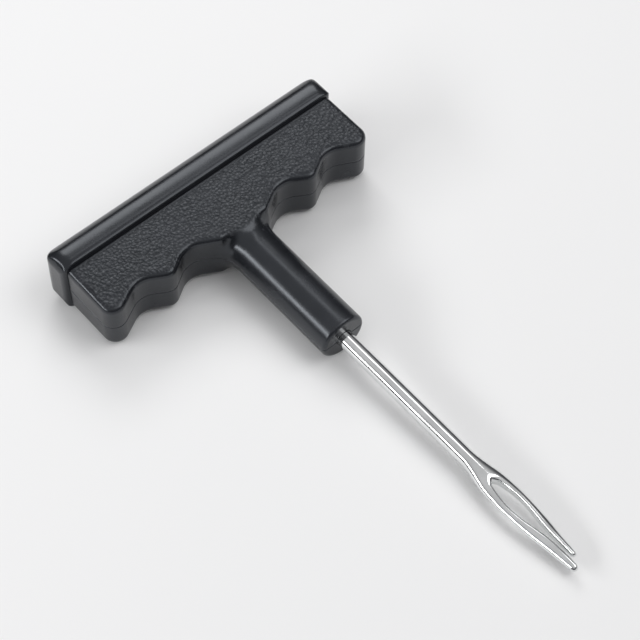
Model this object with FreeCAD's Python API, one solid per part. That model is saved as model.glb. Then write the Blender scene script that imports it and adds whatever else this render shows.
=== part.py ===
import FreeCAD, Part
import math
import os

# Tyre plug insertion tool: a T-shaped plastic handle and a steel needle with a split eye.
# Frame: +X runs along the needle towards its tip, Y runs along the crossbar, and Z goes
# through the thickness. The origin is on the needle's axis at the foot of the straight
# neck, which is where a rack hole or a clip comes to rest. All sizes are in millimetres.

Vector = FreeCAD.Vector
X_AXIS = Vector(1, 0, 0)
Y_AXIS = Vector(0, 1, 0)
Z_AXIS = Vector(0, 0, 1)

# Handle, outside
crossbar_length = 75.4        # over the rounded ends of the palm bar
handle_depth = 55.6           # from the palm side to the end of the neck
palm_depth = 8.4              # the smooth palm bar, from its back to the crease
palm_thickness = 16.0
palm_back_radius = 6.6        # rounding of the bar that the palm pushes on
palm_front_radius = 1.7       # rounding beside the crease
palm_corner_radius = 3.6      # the bar's back corners in plan
palm_end_radius = 3.0         # the bar's ends, above and below
palm_end_inset = 1.0          # the grained web stops this far short of the palm bar
web_thickness = 13.4          # the grained web between the crease and the fingers
web_edge_radius = 1.5
neck_length = 28.0            # the straight part only
neck_radius = 5.6
neck_end_radius = 0.8
flare_length = 9.0            # the neck swells into the web over this length

# Finger side of one arm: distance from the needle's axis, reach in front of the crease,
# and the rounding of that corner
finger_corners = [
    (6.4, 14.7, 1.0),         # beside the neck
    (13.2, 10.9, 5.5),        # groove for the first finger
    (19.7, 14.95, 2.6),       # knuckle between the grooves
    (26.4, 11.1, 5.0),        # groove for the second finger
]
end_lobe_reach = 16.4
end_lobe_radius = 3.0
web_back_radius = 0.6

# Handle, inside
shell_wall = 2.2
core_half_width = 8.6         # solid block that holds the shank
rib_thickness = 1.6
rib_offset = 30.0
boss_offset = 19.7            # the locating pegs sit behind the knuckles
boss_reach = 7.0
boss_radius = 2.6
peg_radius = 1.2
peg_height = 2.4
tongue_depth = 3.0            # the shells' tongues fill the slot in the palm bar
tongue_half_height = 4.6
tongue_half_length = 33.0
fit_gap = 0.05                # clearance where two pieces slide together

# Needle
needle_reach = 70.5           # from the end of the neck to the longer tine's tip
shaft_radius = 1.9
shank_end_gap = 3.4           # the shank stops this far in front of the crease
shank_chamfer = 0.4
slit_width = 0.7
slit_offset = 0.35            # the slit is off centre, so one tine is the stouter
short_tine_step = 2.2         # the other tine stops this far short

# The blade: distance from the neck's end, half width and half thickness
blade_stations = [
    (37.0, 1.90, 1.90),
    (38.5, 1.92, 1.89),
    (41.5, 2.35, 1.80),
    (45.0, 3.00, 1.66),
    (49.0, 3.28, 1.58),
    (54.0, 3.22, 1.52),
    (59.0, 2.84, 1.46),
    (63.0, 2.36, 1.38),
    (67.0, 1.92, 1.24),
    (70.5, 1.50, 1.00),
]
# The eye: a round closed end, then the distance from the neck's end and the half width
eye_start = 45.0
eye_round_radius = 0.9
eye_side_lean = 8.0           # degrees at which the sides leave the round end
eye_stations = [
    (50.6, 1.50),
    (54.8, 1.36),
    (58.6, 0.82),
]
eye_end = 62.0
tine_tip_radius = 0.5

# Spring pin through the shank
pin_radius = 1.0
pin_bore_radius = 0.6
pin_slot = 0.5
pin_length = 15.0
pin_behind_flare = 4.0        # from the back of the flare to the pin

# Places worked out from the above
neck_end_x = neck_length
crease_x = neck_end_x - handle_depth + palm_depth
palm_back_x = crease_x - palm_depth
web_half_length = crossbar_length / 2 - palm_end_inset
pin_x = -flare_length - pin_behind_flare
shank_end_x = crease_x + shank_end_gap
big = 200.0


def rounded_outline(corners, place):
    """Closed wire through corners (a, b, radius), with each corner rounded by an arc.

    place turns the flat coordinates (a, b) into a point in space.
    """
    tangents = []
    count = len(corners)
    for index, (a, b, radius) in enumerate(corners):
        here = Vector(a, b, 0)
        before = Vector(corners[index - 1][0], corners[index - 1][1], 0)
        after = Vector(corners[(index + 1) % count][0], corners[(index + 1) % count][1], 0)
        back = (before - here).normalize()
        ahead = (after - here).normalize()
        half_angle = back.getAngle(ahead) / 2
        reach = radius / math.tan(half_angle)
        middle = (back + ahead).normalize()
        apex = here + middle * (radius / math.sin(half_angle) - radius)
        tangents.append((here + back * reach, apex, here + ahead * reach))
    edges = []
    for index, (start, apex, end) in enumerate(tangents):
        following = tangents[(index + 1) % count][0]
        edges.append(Part.Arc(place(start), place(apex), place(end)).toShape())
        if (following - end).Length > 1e-6:
            edges.append(Part.makeLine(place(end), place(following)))
    return Part.Wire(Part.__sortEdges__(edges))


def in_plan(point):
    """A point of a plan view: first along Y, then along X."""
    return Vector(point.y, point.x, 0)


def in_section(point):
    """A point of a section across the crossbar: first X, then Z."""
    return Vector(point.x, 0, point.y)


def in_end_view(point):
    """A point of a view along the needle: first Y, then Z."""
    return Vector(0, point.x, point.y)


def box(x_range, y_range, z_range):
    """Box between the given limits."""
    corner = Vector(x_range[0], y_range[0], z_range[0])
    size = [high - low for low, high in (x_range, y_range, z_range)]
    return Part.makeBox(size[0], size[1], size[2], corner)


def web_outline():
    """Plan outline of the grained web, without the neck."""
    arm = [(along, crease_x + reach, radius) for along, reach, radius in finger_corners]
    arm.append((web_half_length, crease_x + end_lobe_reach, end_lobe_radius))
    arm.append((web_half_length, crease_x, web_back_radius))
    other_arm = [(-along, x, radius) for along, x, radius in reversed(arm)]
    return rounded_outline(arm + other_arm, in_plan)


def web_blank(half_height):
    """Upper half of the web as a solid, with its outer top edge rounded."""
    blank = Part.Face(web_outline()).extrude(Z_AXIS * half_height)
    top_edges = []
    for edge in blank.Edges:
        bounds = edge.BoundBox
        on_top = bounds.ZMin > half_height - 0.01
        behind = bounds.XMax < crease_x + web_back_radius / 2
        if on_top and not behind:
            top_edges.append(edge)
    return blank.makeFillet(web_edge_radius, top_edges)


def neck():
    """Neck barrel: a straight cylinder with a rounded end, swelling towards the web."""
    swell = web_thickness / 2
    root_x = -flare_length
    blend = Part.BSplineCurve()
    blend.interpolate(
        Points=[Vector(root_x, swell, 0), Vector(0, neck_radius, 0)],
        Tangents=[Vector(1, 0, 0), Vector(1, 0, 0)],
    )
    arc_start = Vector(neck_end_x - neck_end_radius, neck_radius, 0)
    arc_end = Vector(neck_end_x, neck_radius - neck_end_radius, 0)
    lift = neck_end_radius * (1 - math.sqrt(0.5))
    arc_middle = Vector(neck_end_x - lift, neck_radius - lift, 0)
    edges = [
        blend.toShape(),
        Part.makeLine(Vector(0, neck_radius, 0), arc_start),
        Part.Arc(arc_start, arc_middle, arc_end).toShape(),
        Part.makeLine(arc_end, Vector(neck_end_x, 0, 0)),
        Part.makeLine(Vector(neck_end_x, 0, 0), Vector(root_x, 0, 0)),
        Part.makeLine(Vector(root_x, 0, 0), Vector(root_x, swell, 0)),
    ]
    profile = Part.Face(Part.Wire(edges))
    return profile.revolve(Vector(0, 0, 0), X_AXIS, 360)


def arm_cavity():
    """The hollow in both arms of one shell, with its ribs left standing."""
    depth = web_thickness / 2 - shell_wall
    inner = Part.Face(web_outline()).makeOffset2D(-shell_wall)
    hollow = inner.extrude(Z_AXIS * depth)
    x_range = (crease_x - 1, crease_x + big)
    core = box(x_range, (-core_half_width, core_half_width), (-1, depth + 1))
    hollow = hollow.cut(core)
    for side in (-1, 1):
        middle = side * rib_offset
        rib_range = (middle - rib_thickness / 2, middle + rib_thickness / 2)
        hollow = hollow.cut(box(x_range, rib_range, (-1, depth + 1)))
        foot = Vector(crease_x + boss_reach, side * boss_offset, -1)
        hollow = hollow.cut(Part.makeCylinder(boss_radius, depth + 2, foot))
    return hollow


def shank_room():
    """The space that the shank, the pin and their clearance take up inside the shells."""
    start = Vector(shank_end_x - fit_gap, 0, 0)
    length = neck_end_x + 1 - start.x
    bore = Part.makeCylinder(shaft_radius + fit_gap, length, start, X_AXIS)
    pin_start = Vector(pin_x, -pin_length / 2 - fit_gap, 0)
    pocket_length = pin_length + 2 * fit_gap
    pocket = Part.makeCylinder(pin_radius + fit_gap, pocket_length, pin_start, Y_AXIS)
    return bore.fuse(pocket)


def half_shell():
    """Upper half of the handle, before the pegs or their sockets."""
    half_height = web_thickness / 2
    shell = web_blank(half_height)
    upper_half = box((-big, big), (-big, big), (0, big))
    shell = shell.fuse(neck().common(upper_half))
    tongue = box(
        (crease_x - tongue_depth, crease_x + shell_wall),
        (-tongue_half_length, tongue_half_length),
        (0, tongue_half_height),
    )
    shell = shell.fuse(tongue)
    shell = shell.cut(arm_cavity())
    return shell.cut(shank_room())


def pegs(radius, height):
    """Two locating pegs, one in each arm, standing on the parting plane."""
    feet = [Vector(crease_x + boss_reach, side * boss_offset, 0) for side in (-1, 1)]
    first, second = [Part.makeCylinder(radius, height, foot) for foot in feet]
    return first.fuse(second)


def upper_handle_shell():
    """Upper half of the handle, with a blind socket for each peg."""
    return half_shell().cut(pegs(peg_radius + fit_gap, peg_height + fit_gap))


def lower_handle_shell():
    """Lower half of the handle: the upper one mirrored, with the pegs standing up."""
    mirrored = half_shell().mirror(Vector(0, 0, 0), Z_AXIS)
    return mirrored.fuse(pegs(peg_radius, peg_height))


def palm_bar_cap():
    """Smooth bar along the back, slotted to go over the tongues of both shells."""
    half_length = crossbar_length / 2
    half_height = palm_thickness / 2
    section = [
        (crease_x, half_height, palm_front_radius),
        (palm_back_x, half_height, palm_back_radius),
        (palm_back_x, -half_height, palm_back_radius),
        (crease_x, -half_height, palm_front_radius),
    ]
    bar = Part.Face(rounded_outline(section, in_section))
    bar.translate(Vector(0, -half_length, 0))
    bar = bar.extrude(Y_AXIS * crossbar_length)
    plan = [
        (half_length, crease_x, palm_front_radius),
        (half_length, palm_back_x, palm_corner_radius),
        (-half_length, palm_back_x, palm_corner_radius),
        (-half_length, crease_x, palm_front_radius),
    ]
    trim = Part.Face(rounded_outline(plan, in_plan))
    trim.translate(Vector(0, 0, -half_height))
    bar = bar.common(trim.extrude(Z_AXIS * palm_thickness))
    end_view = [
        (half_length, half_height, palm_end_radius),
        (-half_length, half_height, palm_end_radius),
        (-half_length, -half_height, palm_end_radius),
        (half_length, -half_height, palm_end_radius),
    ]
    trim = Part.Face(rounded_outline(end_view, in_end_view))
    trim.translate(Vector(palm_back_x, 0, 0))
    bar = bar.common(trim.extrude(X_AXIS * palm_depth))
    slot = box(
        (crease_x - tongue_depth - fit_gap, crease_x + 1),
        (-tongue_half_length - fit_gap, tongue_half_length + fit_gap),
        (-tongue_half_height - fit_gap, tongue_half_height + fit_gap),
    )
    return bar.cut(slot)


def blade_envelope():
    """The needle's forged end as a loft through ellipses that go from round to flat."""
    wires = []
    for distance, half_width, half_thickness in blade_stations:
        centre = Vector(neck_end_x + distance, 0, 0)
        side = centre + Y_AXIS * half_width
        top = centre + Z_AXIS * half_thickness
        wires.append(Part.Wire(Part.Ellipse(side, top, centre).toShape()))
    return Part.makeLoft(wires, True, False)


def eye_opening():
    """The eye: a long teardrop with a round closed end, which narrows into the slit."""
    start = Vector(neck_end_x + eye_start, 0, 0)
    lean = math.radians(eye_side_lean)
    sides = []
    for side in (1, -1):
        away = Vector(-math.sin(lean), side * math.cos(lean), 0)
        points = [start + X_AXIS * eye_round_radius + away * eye_round_radius]
        for distance, half_width in eye_stations:
            points.append(Vector(neck_end_x + distance, side * half_width, 0))
        points.append(Vector(neck_end_x + eye_end, slit_offset + side * slit_width / 4, 0))
        curve = Part.BSplineCurve()
        curve.interpolate(
            Points=points,
            InitialTangent=Vector(math.cos(lean), side * math.sin(lean), 0),
            FinalTangent=X_AXIS,
        )
        sides.append(curve)
    upper, lower = sides
    edges = [
        Part.Arc(upper.StartPoint, start, lower.StartPoint).toShape(),
        lower.toShape(),
        Part.makeLine(lower.EndPoint, upper.EndPoint),
        upper.toShape(),
    ]
    face = Part.Face(Part.Wire(Part.__sortEdges__(edges)))
    face.translate(Vector(0, 0, -shaft_radius - 1))
    return face.extrude(Z_AXIS * (2 * shaft_radius + 2))


def plug_needle():
    """One-piece needle: shank, round shaft, flattened eye, slit and two tines."""
    shaft_length = neck_end_x + blade_stations[0][0] - shank_end_x
    shaft = Part.makeCylinder(shaft_radius, shaft_length, Vector(shank_end_x, 0, 0), X_AXIS)
    end_edges = [edge for edge in shaft.Edges if edge.BoundBox.XMax < shank_end_x + 0.01]
    shaft = shaft.makeChamfer(shank_chamfer, end_edges)
    pin_hole = Part.makeCylinder(pin_radius, big, Vector(pin_x, -big / 2, 0), Y_AXIS)
    needle = shaft.cut(pin_hole).fuse(blade_envelope()).cut(eye_opening())
    tip_x = neck_end_x + needle_reach
    thick_range = (-shaft_radius - 1, shaft_radius + 1)
    slit_range = (slit_offset - slit_width / 2, slit_offset + slit_width / 2)
    slit_start = neck_end_x + eye_stations[-1][0]
    needle = needle.cut(box((slit_start, tip_x + 1), slit_range, thick_range))
    short_tip = box((tip_x - short_tine_step, tip_x + 1), (slit_offset, big), thick_range)
    needle = needle.cut(short_tip)
    tip_edges = []
    for edge in needle.Edges:
        bounds = edge.BoundBox
        upright = bounds.XLength < 0.01 and bounds.YLength < 0.01 and bounds.ZLength > 0.5
        if upright and bounds.XMin > tip_x - short_tine_step - 0.1:
            tip_edges.append(edge)
    return needle.makeFillet(tine_tip_radius, tip_edges)


def needle_retaining_pin():
    """Slotted spring pin that lies across the handle and passes through the shank."""
    start = Vector(pin_x, -pin_length / 2, 0)
    pin = Part.makeCylinder(pin_radius, pin_length, start, Y_AXIS)
    pin = pin.cut(Part.makeCylinder(pin_bore_radius, pin_length, start, Y_AXIS))
    half_slot = pin_slot / 2
    slot = box((pin_x - half_slot, pin_x + half_slot), (-pin_length, pin_length), (0, big))
    return pin.cut(slot)


os.makedirs("parts", exist_ok=True)
pieces = [
    upper_handle_shell,
    lower_handle_shell,
    palm_bar_cap,
    plug_needle,
    needle_retaining_pin,
]
for make in pieces:
    shape = make()
    shape.exportStep("parts/" + make.__name__ + ".step")
    print(make.__name__, "valid" if shape.isValid() else "INVALID",
          len(shape.Solids), "solid", round(shape.Volume, 1), "mm3")
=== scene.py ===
import math

import bpy
import numpy as np
from mathutils import Matrix, Vector


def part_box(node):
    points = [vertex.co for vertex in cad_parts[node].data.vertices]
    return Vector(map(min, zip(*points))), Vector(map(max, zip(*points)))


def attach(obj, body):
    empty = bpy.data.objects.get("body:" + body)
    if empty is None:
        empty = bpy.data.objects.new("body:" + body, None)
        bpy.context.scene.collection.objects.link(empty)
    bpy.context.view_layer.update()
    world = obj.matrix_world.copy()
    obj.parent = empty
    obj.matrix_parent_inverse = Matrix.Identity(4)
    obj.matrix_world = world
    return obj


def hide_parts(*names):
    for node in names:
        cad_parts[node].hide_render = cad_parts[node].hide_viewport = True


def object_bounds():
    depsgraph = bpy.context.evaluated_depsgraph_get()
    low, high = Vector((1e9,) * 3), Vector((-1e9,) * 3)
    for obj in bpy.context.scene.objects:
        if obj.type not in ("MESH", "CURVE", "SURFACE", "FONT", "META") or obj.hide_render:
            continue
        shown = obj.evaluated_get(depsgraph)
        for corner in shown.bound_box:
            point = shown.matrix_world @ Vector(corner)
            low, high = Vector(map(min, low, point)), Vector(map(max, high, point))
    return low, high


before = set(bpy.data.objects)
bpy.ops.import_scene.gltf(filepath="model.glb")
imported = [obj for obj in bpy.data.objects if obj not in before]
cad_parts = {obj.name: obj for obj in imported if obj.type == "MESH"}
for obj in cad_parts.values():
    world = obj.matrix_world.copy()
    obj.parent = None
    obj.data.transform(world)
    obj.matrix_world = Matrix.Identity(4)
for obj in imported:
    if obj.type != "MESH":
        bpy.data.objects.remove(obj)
cad_low, cad_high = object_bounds()

# Tyre plug insertion tool. Shapes are worked out in millimetres and turned into metres
# when a mesh is made. Overall sizes come from the frame.
MM = 0.001


def box_mm(node):
    """Lowest and highest corner of a CAD node in millimetres."""
    low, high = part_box(node)
    return Vector(low) / MM, Vector(high) / MM


bar_low, bar_high = box_mm("palm_bar_cap")
_, shell_high = box_mm("upper_handle_shell")
needle_low, needle_high = box_mm("plug_needle")
pin_low, pin_high = box_mm("needle_retaining_pin")

# Palm bar
crease_x = bar_high.x                 # where the grained web meets the smooth palm bar
palm_back_x = bar_low.x
palm_half_length = bar_high.y
palm_half_height = bar_high.z
palm_back_radius = 6.6
palm_front_radius = 1.7
palm_corner_radius = 3.6
palm_end_radius = 3.0
palm_edge_radius = 1.0
palm_edge_loss = palm_edge_radius * (1.0 - math.sqrt(0.5))  # taken off a face cut twice
palm_end = palm_half_length - palm_edge_loss

# Grip: the web with its finger grooves, and the neck
web_half_length = shell_high.y
web_half_height = shell_high.z
web_edge_radius = 1.5
web_overrun = 4.0                     # the web is drawn on past the crease, then cut there
joint_gap = 0.01
parting_radius = 0.16                 # softens the edges where the two halves meet
crease_radius = 0.1
neck_end_x = shell_high.x
neck_radius = 5.6
neck_end_radius = 0.8
neck_swell_radius = 6.35              # the neck swells to this before it meets the web
neck_swell_end_x = -6.5
neck_root_x = -12.0                   # the neck ends here, inside the web
neck_root_blend = 4.0
neck_blend = 2.6                      # fillet between the neck and the web's front wall

# Finger side of one arm: distance from the needle's axis, reach in front of the crease,
# and the rounding of that corner
finger_corners = [
    (6.4, 14.7, 1.0),
    (13.2, 10.9, 5.5),
    (19.7, 14.95, 2.6),
    (26.4, 11.1, 5.0),
    (web_half_length, 16.4, 3.0),
    (web_half_length, -web_overrun, 0.6),
]

# Leather grain
grain_size = 0.8                      # across one pebble
grain_depth = 0.095
grain_groove = 0.38                   # width of a groove, in pebbles
swell_size = 2.5                      # broad, shallow unevenness under the pebbles
swell_depth = 0.012
grain_shift = 500.0                   # keeps the pebbles' cell numbers positive
# Where the grain fades in or out
outline_fade = (0.3, 1.3)             # distance in from the web's outline
neck_fade = (3.5, 5.5)                # nearer the needle's axis it runs on to the neck
crease_fade = (0.3, 0.9)              # distance from the crease
face_fade = (-0.5, -0.05)             # height above the broad face, on its rounded edge

# Needle and pin
shaft_radius = needle_high.z
shank_end_x = needle_low.x
shank_clearance = 0.05
tip_x = needle_high.x
short_tip_x = tip_x - 2.2             # the other tine is this much shorter
pin_x = (pin_low.x + pin_high.x) / 2
pin_radius = pin_high.z
# The blade: distance in front of the neck, half width and half thickness
blade_stations = [
    (35.0, 1.90, 1.90),
    (38.5, 1.92, 1.89),
    (41.5, 2.35, 1.80),
    (45.0, 3.00, 1.66),
    (49.0, 3.28, 1.58),
    (54.0, 3.22, 1.52),
    (59.0, 2.84, 1.46),
    (63.0, 2.36, 1.38),
    (67.0, 1.92, 1.24),
    (71.5, 1.40, 0.90),
]
slit_offset = 0.35                    # the slit is off centre, so one tine is the stouter
slit_half_width = 0.35
# The eye and the slit: distance in front of the neck, offset, half width
eye_stations = [
    (44.0, 0.00, 0.20),
    (46.4, 0.00, 0.86),
    (48.6, 0.00, 1.26),
    (51.0, 0.00, 1.50),
    (53.4, 0.00, 1.47),
    (56.4, 0.03, 1.16),
    (59.4, 0.14, 0.70),
    (62.0, 0.28, 0.42),
    (64.5, slit_offset, slit_half_width),
    (80.0, slit_offset, slit_half_width),
]
eye_start = 45.0
eye_start_blend = 1.7                 # rounds the eye's closed end
tine_edge_blend = 1.1
tip_blend = 1.1
shank_end_blend = 0.5

# Meshes: size of a cell, and room left around the piece
plastic_mesh = (0.2, 0.5)
needle_mesh = (0.11, 0.4)
settle_rounds = 4                     # steps that bring the points on to the surface

FAR = 1e9                             # more than any distance here
TINY = 1e-9                           # less than any size here

# Stage
floor_half_side = 3000.0
floor_gap = 0.02                      # keeps the floor from cutting into the tool
camera_azimuth = 45.0
camera_elevation = 59.0
camera_roll = 1.5
camera_lens = 110.0
camera_distance = 0.411               # metres, as is the shift of the point it looks at
camera_aim_shift = (-0.0140, -0.0010)
sky_strength = 0.65
sky_stops = [                         # height from the horizon (0) to overhead (1), colour
    (0.0, (0.04, 0.04, 0.045)),
    (0.45, (0.20, 0.20, 0.21)),
    (0.80, (0.90, 0.90, 0.91)),
]
# Lights: name, direction from the tool, distance, size (both in metres), power
lights = [
    ("overhead", (0.35, 0.45, 0.82), 0.70, (0.50, 0.50), 1.8),
    ("back", (-0.75, 0.35, 0.56), 0.60, (0.34, 0.22), 0.9),
    ("front_strip", (-0.36, -0.85, 0.40), 0.55, (0.55, 0.10), 1.5),
    ("glint_card", (-0.36, 0.36, 0.86), 0.70, (0.30, 0.10), 0.20),
]

# Colours: the darker and the lighter shade that each material varies between
black_shades = ((0.008, 0.009, 0.011), (0.013, 0.014, 0.017))
rubbed_black = (0.040, 0.042, 0.047)
black_sheen = (0.88, 0.93, 1.0)
plating_shades = ((0.74, 0.75, 0.75), (0.83, 0.84, 0.84))
spring_shades = ((0.36, 0.36, 0.38), (0.52, 0.52, 0.53))
floor_shade = (0.85, 0.85, 0.85)


def smooth_step(value, low, high):
    """0 below low, 1 above high, with a smooth rise between."""
    share = np.clip((value - low) / (high - low), 0.0, 1.0)
    return share * share * (3.0 - 2.0 * share)


def blend_union(first, second, reach):
    """Union of two distances with a fillet about as wide as reach."""
    overlap = np.maximum(reach - np.abs(first - second), 0.0) / reach
    return np.minimum(first, second) - overlap * overlap * reach * 0.25


def blend_cut(first, second, reach):
    """Intersection of two distances with a rounded edge about as wide as reach."""
    return -blend_union(-first, -second, reach)


def round_cut(first, second, radius):
    """Intersection of two distances with its edge rounded to a true radius."""
    a = first + radius
    b = second + radius
    outside = np.hypot(np.maximum(a, 0.0), np.maximum(b, 0.0))
    return np.minimum(np.maximum(a, b), 0.0) + outside - radius


def curve_through(value, places, heights):
    """Smooth curve through the given stations."""
    slopes = np.gradient(heights, places)
    index = np.clip(np.searchsorted(places, value) - 1, 0, len(places) - 2)
    step = places[index + 1] - places[index]
    t = np.clip((value - places[index]) / step, 0.0, 1.0)
    rise = t * t * (3.0 - 2.0 * t)
    start = t * (1.0 - t) ** 2 * step * slopes[index]
    end = t * t * (t - 1.0) * step * slopes[index + 1]
    return heights[index] * (1.0 - rise) + heights[index + 1] * rise + start + end


def rounded_parts(corners):
    """Lines and arcs of a closed outline from corners (a, b, radius), run anticlockwise."""
    tangents = []
    count = len(corners)
    for index in range(count):
        here = np.array(corners[index][:2], float)
        before = np.array(corners[index - 1][:2], float) - here
        after = np.array(corners[(index + 1) % count][:2], float) - here
        radius = corners[index][2]
        before = before / np.hypot(*before)
        after = after / np.hypot(*after)
        half_angle = math.acos(float(before @ after)) / 2
        middle = before + after
        middle = middle / np.hypot(*middle)
        centre = here + middle * radius / math.sin(half_angle)
        reach = radius / math.tan(half_angle)
        turn = after[0] * before[1] - after[1] * before[0]
        bend = 1.0 if turn > 0 else -1.0
        tangents.append((here + before * reach, centre, here + after * reach, radius, bend))
    parts = []
    for index in range(count):
        start, centre, end, radius, bend = tangents[index]
        parts.append(("arc", start, centre, end, radius, bend))
        following = tangents[(index + 1) % count][0]
        if np.hypot(*(following - end)) > TINY:     # no line where two arcs meet
            parts.append(("line", end, following))
    return parts


def outline_distance(a, b, parts):
    """Distance to a rounded outline, negative inside."""
    best = np.full(np.broadcast(a, b).shape, FAR)
    for part in parts:
        if part[0] == "line":
            start, end = part[1], part[2]
            along = end - start
            length = np.hypot(*along)
            along = along / length
            da = a - start[0]
            db = b - start[1]
            t = np.clip(da * along[0] + db * along[1], 0.0, length)
            apart = np.hypot(da - t * along[0], db - t * along[1])
            side = along[0] * db - along[1] * da
            signed = np.where(side > 0, -apart, apart)
        else:
            start, centre, end, radius, bend = part[1:]
            da = a - centre[0]
            db = b - centre[1]
            signed = bend * (np.hypot(da, db) - radius)
            first = start - centre
            last = end - centre
            past_first = bend * (first[0] * db - first[1] * da) >= -TINY
            before_last = bend * (da * last[1] - db * last[0]) >= -TINY
            signed = np.where(past_first & before_last, signed, FAR)
        best = np.where(np.abs(signed) < np.abs(best), signed, best)
    return best


def hashed(i, j, k, salt):
    """Repeatable value from 0 to 1 for each whole-numbered cell, mixed with large primes."""
    n = (i * 73856093) ^ (j * 19349663) ^ (k * 83492791) ^ (salt * 15485863)
    n = n & 0xFFFFFFFF
    n = ((n ^ (n >> 13)) * 1274126177) & 0xFFFFFFFF
    n = ((n ^ (n >> 15)) * 1103515245) & 0xFFFFFFFF
    return ((n ^ (n >> 16)) & 0xFFFFFF) / 0xFFFFFF


def pebble_edges(points, size):
    """How far each point is from the border between two pebbles, in pebble widths."""
    scaled = points / size
    cell = np.floor(scaled).astype(np.int64)
    nearest = np.full(len(points), FAR)
    second = np.full(len(points), FAR)
    for di in (-1, 0, 1):
        for dj in (-1, 0, 1):
            for dk in (-1, 0, 1):
                i, j, k = cell[:, 0] + di, cell[:, 1] + dj, cell[:, 2] + dk
                px = i + hashed(i, j, k, 1) - scaled[:, 0]
                py = j + hashed(i, j, k, 2) - scaled[:, 1]
                pz = k + hashed(i, j, k, 3) - scaled[:, 2]
                apart = np.sqrt(px * px + py * py + pz * pz)
                second = np.minimum(second, np.maximum(nearest, apart))
                nearest = np.minimum(nearest, apart)
    return second - nearest


def gradient(field, points, step):
    """Direction in which the field grows, at each point."""
    out = np.empty_like(points)
    for axis in range(3):
        shift = np.zeros(3)
        shift[axis] = step
        ahead = points + shift
        behind = points - shift
        rise = field(*ahead.T) - field(*behind.T)
        out[:, axis] = rise / (2.0 * step)
    return out


def crossed_edges(values, axis, strides):
    """Grid edges along one axis that the surface crosses.

    Returns the four cells around each edge, the crossing in grid steps, and whether the
    field falls along the edge.
    """
    front = [slice(None)] * 3
    back = [slice(None)] * 3
    front[axis] = slice(1, None)
    back[axis] = slice(None, -1)
    starts = values[tuple(back)]
    ends = values[tuple(front)]
    where = np.argwhere((starts < 0) != (ends < 0))
    start = starts[tuple(where.T)]
    end = ends[tuple(where.T)]
    crossing = where.astype(float)
    crossing[:, axis] += start / (start - end)
    next_axis, last_axis = (axis + 1) % 3, (axis + 2) % 3
    corners = []
    for u, v in ((0, 0), (1, 0), (1, 1), (0, 1)):
        corner = where.copy()
        corner[:, next_axis] -= u
        corner[:, last_axis] -= v
        corners.append(corner @ strides)
    return np.stack(corners, axis=1), crossing, start > 0


def settled(field, points, cell):
    """Points moved on to the surface in a few short steps."""
    longest = cell * 0.5
    for _ in range(settle_rounds):
        slope = gradient(field, points, cell * 0.05)
        size = np.maximum((slope * slope).sum(axis=1), 0.05)
        step = slope * (field(*points.T) / size)[:, None]
        points = points - np.clip(step, -longest, longest)
    return points


def surface_net(field, low, high, cell, margin):
    """Quads of the surface where the field is zero: (points, faces, outward normals)."""
    axes = [np.arange(lo - margin, hi + margin + cell, cell) for lo, hi in zip(low, high)]
    x, y, z = np.meshgrid(*axes, indexing="ij", sparse=True)
    shape = [len(axis) for axis in axes]
    values = np.broadcast_to(field(x, y, z), shape)
    strides = np.array([shape[1] * shape[2], shape[2], 1])
    origin = np.array([axis[0] for axis in axes])
    edges = [crossed_edges(values, axis, strides) for axis in range(3)]
    cells, crossings, falling = [np.concatenate(part) for part in zip(*edges)]
    crossings = crossings * cell + origin
    used, faces = np.unique(cells, return_inverse=True)
    faces = faces.reshape(-1, 4)
    counts = np.bincount(faces.ravel(), minlength=len(used))
    points = np.empty((len(used), 3))
    for axis in range(3):
        weights = np.repeat(crossings[:, axis], 4)
        points[:, axis] = np.bincount(faces.ravel(), weights, len(used)) / counts
    points = settled(field, points, cell)
    faces[falling] = faces[falling][:, ::-1]
    normals = gradient(field, points, cell * 0.25)
    lengths = np.maximum(np.sqrt((normals * normals).sum(axis=1)), TINY)
    return points, faces, normals / lengths[:, None]


def make_piece(name, points, faces, material, node, normals=None):
    """Smooth-shaded piece that rides on the tool and stands for the given CAD node."""
    mesh = bpy.data.meshes.new(name)
    mesh.vertices.add(len(points))
    mesh.vertices.foreach_set("co", (points * MM).astype(np.float32).ravel())
    mesh.loops.add(faces.size)
    mesh.loops.foreach_set("vertex_index", faces.astype(np.int32).ravel())
    mesh.polygons.add(len(faces))
    mesh.polygons.foreach_set("loop_start", np.arange(0, faces.size, 4, dtype=np.int32))
    mesh.update(calc_edges=True)
    mesh.polygons.foreach_set("use_smooth", np.ones(len(faces), bool))
    if normals is not None:
        mesh.normals_split_custom_set_from_vertices(normals.tolist())
    mesh.materials.append(material)
    piece = bpy.data.objects.new(name, mesh)
    bpy.context.scene.collection.objects.link(piece)
    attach(piece, "root")
    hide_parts(node)
    return piece


# Shapes, as distances

def web_parts():
    """Plan outline of the web, run anticlockwise in (y, x)."""
    arm = [(along, crease_x + reach, radius) for along, reach, radius in finger_corners]
    other_arm = [(-along, x, radius) for along, x, radius in reversed(arm)]
    return rounded_parts((arm + other_arm)[::-1])


WEB_PARTS = web_parts()


def neck_distance(x, y, z):
    """Round neck with a rounded end, swelling towards the web."""
    swell = smooth_step(-x, 0.0, -neck_swell_end_x)
    radius = neck_radius + (neck_swell_radius - neck_radius) * swell
    barrel = np.hypot(y, z) - radius
    barrel = round_cut(barrel, x - neck_end_x, neck_end_radius)
    return blend_cut(barrel, neck_root_x - x, neck_root_blend)


def shank_distance(x, y, z, clearance):
    """Room for the needle's shank and for the pin."""
    bore = np.maximum(np.hypot(y, z) - shaft_radius - clearance, shank_end_x - clearance - x)
    pocket = np.hypot(x - pin_x, z) - pin_radius - clearance
    pocket = np.maximum(pocket, np.abs(y) - pin_high.y - clearance)
    return np.minimum(bore, pocket)


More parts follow.
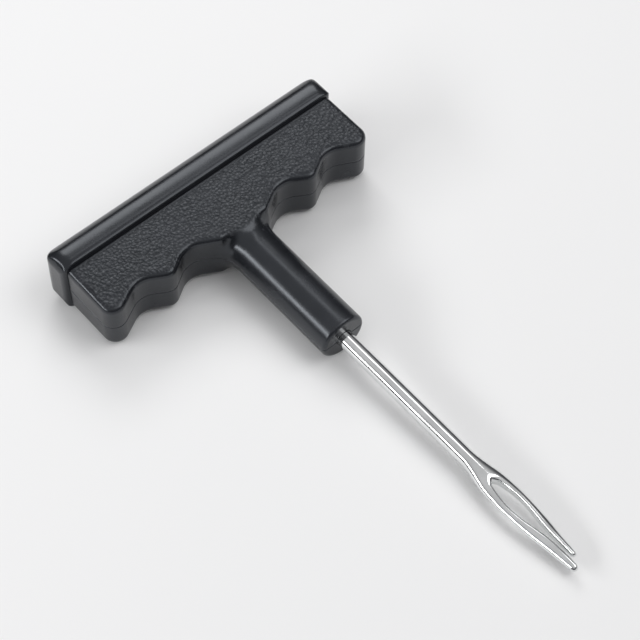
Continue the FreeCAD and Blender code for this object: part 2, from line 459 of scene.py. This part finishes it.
def grip_half_distance(x, y, z):
    """Upper half of the grip, without its grain."""
    above_top = np.abs(z) - web_half_height
    web = round_cut(outline_distance(y, x, WEB_PARTS), above_top, web_edge_radius)
    whole = blend_union(web, neck_distance(x, y, z), neck_blend)
    whole = np.maximum(whole, above_top)
    whole = blend_cut(whole, crease_x + joint_gap - x, crease_radius)
    whole = blend_cut(whole, joint_gap * 0.5 - z, parting_radius)
    return np.maximum(whole, -shank_distance(x, y, z, shank_clearance))


def palm_bar_distance(x, y, z):
    """Smooth palm bar: where its section, plan and end view overlap."""
    section = outline_distance(x, z, PALM_SECTION)
    plan = outline_distance(y, x, PALM_PLAN)
    end_view = outline_distance(y, z, PALM_END_VIEW)
    ends = np.maximum(plan, end_view)
    return round_cut(section - palm_edge_loss, ends - palm_edge_loss, palm_edge_radius)


PALM_SECTION = rounded_parts([
    (crease_x, palm_half_height, palm_front_radius),
    (palm_back_x, palm_half_height, palm_back_radius),
    (palm_back_x, -palm_half_height, palm_back_radius),
    (crease_x, -palm_half_height, palm_front_radius),
])
PALM_PLAN = rounded_parts([
    (palm_end, palm_back_x, palm_corner_radius),
    (palm_end, crease_x, palm_front_radius),
    (-palm_end, crease_x, palm_front_radius),
    (-palm_end, palm_back_x, palm_corner_radius),
])
PALM_END_VIEW = rounded_parts([
    (palm_end, palm_half_height, palm_end_radius),
    (-palm_end, palm_half_height, palm_end_radius),
    (-palm_end, -palm_half_height, palm_end_radius),
    (palm_end, -palm_half_height, palm_end_radius),
])
BLADE_X, BLADE_WIDTH, BLADE_THICKNESS = np.array(blade_stations).T
BLADE_X = BLADE_X + neck_end_x
EYE_X, EYE_OFFSET, EYE_WIDTH = np.array(eye_stations).T
EYE_X = EYE_X + neck_end_x


def eye_distance(x, y):
    """Opening of the eye and the slit, seen from above."""
    centre = curve_through(x, EYE_X, EYE_OFFSET)
    opening = np.abs(y - centre) - curve_through(x, EYE_X, EYE_WIDTH)
    return blend_cut(opening, neck_end_x + eye_start - x, eye_start_blend)


def ellipse_distance(y, z, width, thickness):
    """Near enough the distance to an ellipse of the given half width and half thickness."""
    plain = np.sqrt((y / width) ** 2 + (z / thickness) ** 2)
    steep = np.sqrt((y / width ** 2) ** 2 + (z / thickness ** 2) ** 2)
    return plain * (plain - 1.0) / np.maximum(steep, TINY)


def needle_distance(x, y, z):
    """One-piece needle: shank, shaft, flattened eye, slit and two tines."""
    width = curve_through(x, BLADE_X, BLADE_WIDTH)
    thickness = curve_through(x, BLADE_X, BLADE_THICKNESS)
    body = ellipse_distance(y, z, width, thickness)
    body = blend_cut(body, -eye_distance(x, y), tine_edge_blend)
    end = np.where(y > slit_offset, short_tip_x, tip_x)
    body = blend_cut(body, x - end, tip_blend)
    body = blend_cut(body, shank_end_x - x, shank_end_blend)
    return np.maximum(body, pin_radius - np.hypot(x - pin_x, z))


# Materials

class Look:
    """A node material as it is put together. A texture's scale is per millimetre."""

    def __init__(self, name):
        self.material = bpy.data.materials.new(name)
        self.material.use_nodes = True
        self.nodes = self.material.node_tree.nodes
        self.links = self.material.node_tree.links
        self.shader = self.nodes["Principled BSDF"]

    def connect(self, value, socket):
        """Gives a socket another node's output, a colour or a number."""
        if isinstance(value, tuple):
            socket.default_value = (*value, 1.0)
        elif isinstance(value, (int, float)):
            socket.default_value = value
        else:
            self.links.new(value, socket)

    def set(self, key, value):
        """Sets one of the shader's inputs."""
        self.connect(value, self.shader.inputs[key])

    def coordinates(self, along_x=1.0, along_y=1.0, along_z=1.0):
        """Coordinates that move with the object; a factor below 1 stretches the texture."""
        place = self.nodes.new("ShaderNodeTexCoord")
        mapping = self.nodes.new("ShaderNodeMapping")
        mapping.inputs["Scale"].default_value = (along_x / MM, along_y / MM, along_z / MM)
        self.links.new(place.outputs["Object"], mapping.inputs["Vector"])
        return mapping.outputs["Vector"]

    def noise(self, vector, scale, detail=3.0, rough=0.5):
        """Noise texture value."""
        texture = self.nodes.new("ShaderNodeTexNoise")
        texture.inputs["Scale"].default_value = scale
        texture.inputs["Detail"].default_value = detail
        texture.inputs["Roughness"].default_value = rough
        self.links.new(vector, texture.inputs["Vector"])
        return texture.outputs["Fac"]

    def cell_edges(self, vector, scale):
        """Distance to the border between two cells of a Voronoi texture."""
        texture = self.nodes.new("ShaderNodeTexVoronoi")
        texture.feature = "DISTANCE_TO_EDGE"
        texture.inputs["Scale"].default_value = scale
        self.links.new(vector, texture.inputs["Vector"])
        return texture.outputs["Distance"]

    def stored(self, name):
        """Value that the mesh stores at its points."""
        attribute = self.nodes.new("ShaderNodeAttribute")
        attribute.attribute_name = name
        return attribute.outputs["Fac"]

    def ranged(self, value, source, target):
        """Value moved from the source range to the target range and held inside it."""
        node = self.nodes.new("ShaderNodeMapRange")
        keys = ("From Min", "From Max", "To Min", "To Max")
        for key, number in zip(keys, (*source, *target)):
            node.inputs[key].default_value = number
        self.links.new(value, node.inputs["Value"])
        return node.outputs["Result"]

    def maths(self, operation, first, second):
        """Maths on two values."""
        node = self.nodes.new("ShaderNodeMath")
        node.operation = operation
        for socket, value in zip(node.inputs, (first, second)):
            self.connect(value, socket)
        return node.outputs["Value"]

    def mixed(self, share, first, second):
        """Colour between two colours."""
        node = self.nodes.new("ShaderNodeMix")
        node.data_type = "RGBA"
        self.links.new(share, node.inputs["Factor"])
        self.connect(first, node.inputs["A"])
        self.connect(second, node.inputs["B"])
        return node.outputs["Result"]

    def bump(self, height, depth, strength, normal=None):
        """Bump of the given depth in millimetres, on top of another one if given."""
        node = self.nodes.new("ShaderNodeBump")
        node.inputs["Strength"].default_value = strength
        node.inputs["Distance"].default_value = depth * MM
        self.links.new(height, node.inputs["Height"])
        if normal is not None:
            self.links.new(normal, node.inputs["Normal"])
        return node.outputs["Normal"]


def black_color(look, patches, fine):
    """Black in two shades, paler where raised edges have been rubbed."""
    color = look.mixed(look.ranged(patches, (0.35, 0.65), (0.0, 1.0)), *black_shades)
    raised = look.nodes.new("ShaderNodeNewGeometry").outputs["Pointiness"]
    on_edges = look.ranged(raised, (0.51, 0.56), (0.0, 0.7))
    uneven = look.ranged(fine, (0.35, 0.6), (0.4, 1.0))
    return look.mixed(look.maths("MULTIPLY", on_edges, uneven), color, rubbed_black)


def black_plastic(name, grained):
    """Black moulded plastic. The grained one is duller where the mesh stores grain."""
    look = Look(name)
    vector = look.coordinates()
    patches = look.noise(vector, 0.12, detail=4.0)
    fine = look.noise(vector, 5.0, detail=4.0, rough=0.6)
    peel = look.noise(vector, 1.1, detail=2.0)
    look.set("Base Color", black_color(look, patches, fine))
    look.set("IOR", 1.48)
    look.set("Specular Tint", black_sheen)
    rough = look.ranged(patches, (0.3, 0.7), (0.20, 0.28))
    normal = look.bump(peel, 0.012, 0.5)
    if grained:
        grain = look.stored("grain")
        wrinkles = look.ranged(look.cell_edges(vector, 2.1), (0.0, 0.25), (0.0, 1.0))
        height = look.maths("ADD", wrinkles, look.maths("MULTIPLY", fine, 0.8))
        normal = look.bump(look.maths("MULTIPLY", height, grain), 0.025, 0.8, normal)
        # Painted shade: the grooves get a weaker specular reflection so they look darker,
        # standing in for the shade that falls in them
        groove_shade_gloss = look.ranged(look.stored("grooves"), (0.0, 1.0), (0.62, 0.29))
        look.set("Specular IOR Level", groove_shade_gloss)
        rough = look.maths("ADD", rough, look.maths("MULTIPLY", grain, 0.08))
    else:
        normal = look.bump(fine, 0.004, 0.5, normal)
    look.set("Roughness", rough)
    look.set("Normal", normal)
    return look.material


def bright_plating():
    """Bright plated steel with faint draw marks along the shaft."""
    look = Look("bright_plating")
    marks = look.noise(look.coordinates(along_x=0.03), 6.0, detail=4.0, rough=0.6)
    clouds = look.noise(look.coordinates(), 0.25)
    share = look.ranged(clouds, (0.35, 0.65), (0.0, 1.0))
    look.set("Base Color", look.mixed(share, *plating_shades))
    look.set("Metallic", 1.0)
    look.set("Roughness", look.ranged(marks, (0.3, 0.7), (0.05, 0.14)))
    look.set("Normal", look.bump(marks, 0.002, 0.3))
    return look.material


def spring_steel():
    """Rolled spring steel with fine marks along the pin."""
    look = Look("spring_steel")
    marks = look.noise(look.coordinates(along_y=0.05), 8.0, detail=4.0, rough=0.6)
    share = look.ranged(marks, (0.3, 0.7), (0.0, 1.0))
    look.set("Base Color", look.mixed(share, *spring_shades))
    look.set("Metallic", 1.0)
    look.set("Roughness", look.ranged(marks, (0.3, 0.7), (0.24, 0.42)))
    look.set("Normal", look.bump(marks, 0.01, 0.4))
    return look.material


def pale_floor():
    """Plain pale floor."""
    look = Look("pale_floor")
    look.set("Base Color", floor_shade)
    look.set("Roughness", 0.6)
    return look.material


# Pieces

def add_grain(points, normals, mirror):
    """Cuts the leather grain's grooves into the broad face.

    Returns the points, where there is grain, and where its grooves are.
    """
    x, y, z = points.T
    plan = outline_distance(y, x, WEB_PARTS)
    on_face = smooth_step(np.abs(z) - web_half_height, *face_fade)
    at_neck = 1.0 - smooth_step(np.abs(y), *neck_fade)
    inset = np.maximum(smooth_step(-plan, *outline_fade), at_neck)
    mask = on_face * inset * smooth_step(x - crease_x, *crease_fade)
    seat = points * np.array([1.0, 1.0, mirror]) + grain_shift
    groove = 1.0 - smooth_step(pebble_edges(seat, grain_size), 0.0, grain_groove)
    depth = grain_depth * groove + swell_depth * pebble_edges(seat, swell_size)
    return points - normals * (depth * mask)[:, None], mask, groove * mask


def store(piece, name, values):
    """Stores a value at each point of a piece for its material."""
    layer = piece.data.attributes.new(name, "FLOAT", "POINT")
    layer.data.foreach_set("value", values.astype(np.float32))


def make_grips(material):
    """Upper and lower half of the grip; the lower one is turned over after graining."""
    low = (crease_x, -web_half_length, 0.0)
    high = (neck_end_x, web_half_length, web_half_height)
    points, faces, normals = surface_net(grip_half_distance, low, high, *plastic_mesh)
    for name, node, mirror in (
        ("grip_upper_half", "upper_handle_shell", 1.0),
        ("grip_lower_half", "lower_handle_shell", -1.0),
    ):
        grained, mask, grooves = add_grain(points, normals, mirror)
        grained = grained * np.array([1.0, 1.0, mirror])
        order = faces if mirror > 0 else faces[:, ::-1]
        piece = make_piece(name, grained, order, material, node)
        store(piece, "grain", mask)
        # The grooves' mask, which the material uses to paint shade into the grooves as
        # weaker reflection
        store(piece, "grooves", grooves)


def make_palm_bar(material):
    """Smooth bar that the palm pushes on."""
    low = (palm_back_x, -palm_half_length, -palm_half_height)
    high = (crease_x, palm_half_length, palm_half_height)
    points, faces, normals = surface_net(palm_bar_distance, low, high, *plastic_mesh)
    make_piece("palm_bar", points, faces, material, "palm_bar_cap", normals)


def make_needle(material):
    """Needle with its split eye."""
    widest = max(BLADE_WIDTH)
    low = (shank_end_x, -widest, -shaft_radius)
    high = (tip_x, widest, shaft_radius)
    points, faces, normals = surface_net(needle_distance, low, high, *needle_mesh)
    make_piece("split_eye_needle", points, faces, material, "plug_needle",
               normals)


def finish_pin(material):
    """The retaining pin keeps its CAD shape and gets its finish."""
    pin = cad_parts["needle_retaining_pin"]
    pin.data.materials.clear()
    pin.data.materials.append(material)


# Stage

def make_floor():
    """Pale floor that the tool lies on: it touches the palm bar and the neck's end."""
    neck_rest_x = neck_end_x - neck_end_radius
    lean = (palm_half_height - neck_radius) / (neck_rest_x - crease_x + palm_front_radius)
    corners = []
    for sx, sy in ((-1, -1), (1, -1), (1, 1), (-1, 1)):
        x = sx * floor_half_side
        z = -neck_radius - floor_gap + (x - neck_rest_x) * lean
        corners.append((x * MM, sy * floor_half_side * MM, z * MM))
    mesh = bpy.data.meshes.new("floor")
    mesh.from_pydata(corners, [], [(0, 1, 2, 3)])
    floor = bpy.data.objects.new("floor", mesh)
    mesh.materials.append(pale_floor())
    bpy.context.scene.collection.objects.link(floor)


def add_area_light(name, place, size, power, target):
    """Soft rectangular light that faces a point, with its long side level."""
    data = bpy.data.lights.new(name, "AREA")
    data.shape = "RECTANGLE"
    data.size, data.size_y = size
    data.energy = power
    light = bpy.data.objects.new(name, data)
    light.location = place
    light.rotation_mode = "QUATERNION"
    light.rotation_quaternion = (Vector(target) - Vector(place)).to_track_quat("-Z", "Y")
    bpy.context.scene.collection.objects.link(light)


def make_world():
    """Even surroundings, pale overhead and darker towards the horizon."""
    world = bpy.data.worlds.new("studio")
    bpy.context.scene.world = world
    world.use_nodes = True
    nodes, links = world.node_tree.nodes, world.node_tree.links
    place = nodes.new("ShaderNodeTexCoord")
    split = nodes.new("ShaderNodeSeparateXYZ")
    ramp = nodes.new("ShaderNodeValToRGB")
    links.new(place.outputs["Generated"], split.inputs["Vector"])
    links.new(split.outputs["Z"], ramp.inputs["Fac"])
    stops = ramp.color_ramp.elements      # two to begin with
    stops.new(sky_stops[1][0])
    for stop, (height, color) in zip(stops, sky_stops):
        stop.position = height
        stop.color = (*color, 1.0)
    links.new(ramp.outputs["Color"], nodes["Background"].inputs["Color"])
    nodes["Background"].inputs["Strength"].default_value = sky_strength


def make_camera(target):
    """Camera that looks down at the broad face from beside the needle."""
    azimuth = math.radians(camera_azimuth)
    elevation = math.radians(camera_elevation)
    back = Vector((
        math.sin(azimuth) * math.cos(elevation),
        -math.cos(azimuth) * math.cos(elevation),
        math.sin(elevation),
    ))
    place = Vector((target.x, target.y, 0.0)) + back * camera_distance
    aim_x, aim_y = camera_aim_shift
    aim = Vector((target.x + aim_x, target.y + aim_y, 0.0))
    roll = Matrix.Rotation(math.radians(camera_roll), 4, "Z").to_quaternion()
    data = bpy.data.cameras.new("camera")
    data.lens = camera_lens
    data.clip_start = 0.01
    camera = bpy.data.objects.new("camera", data)
    camera.location = place
    camera.rotation_mode = "QUATERNION"
    camera.rotation_quaternion = (aim - place).to_track_quat("-Z", "Y") @ roll
    bpy.context.scene.collection.objects.link(camera)
    bpy.context.scene.camera = camera


make_grips(black_plastic("grained_black_plastic", True))
make_palm_bar(black_plastic("smooth_black_plastic", False))
make_needle(bright_plating())
finish_pin(spring_steel())
make_floor()
make_world()
middle = (cad_low + cad_high) / 2
make_camera(middle)
for name, direction, distance, size, power in lights:
    place = middle + Vector(direction).normalized() * distance
    add_area_light(name, place, size, power, middle)
bpy.context.scene.view_settings.view_transform = "Standard"
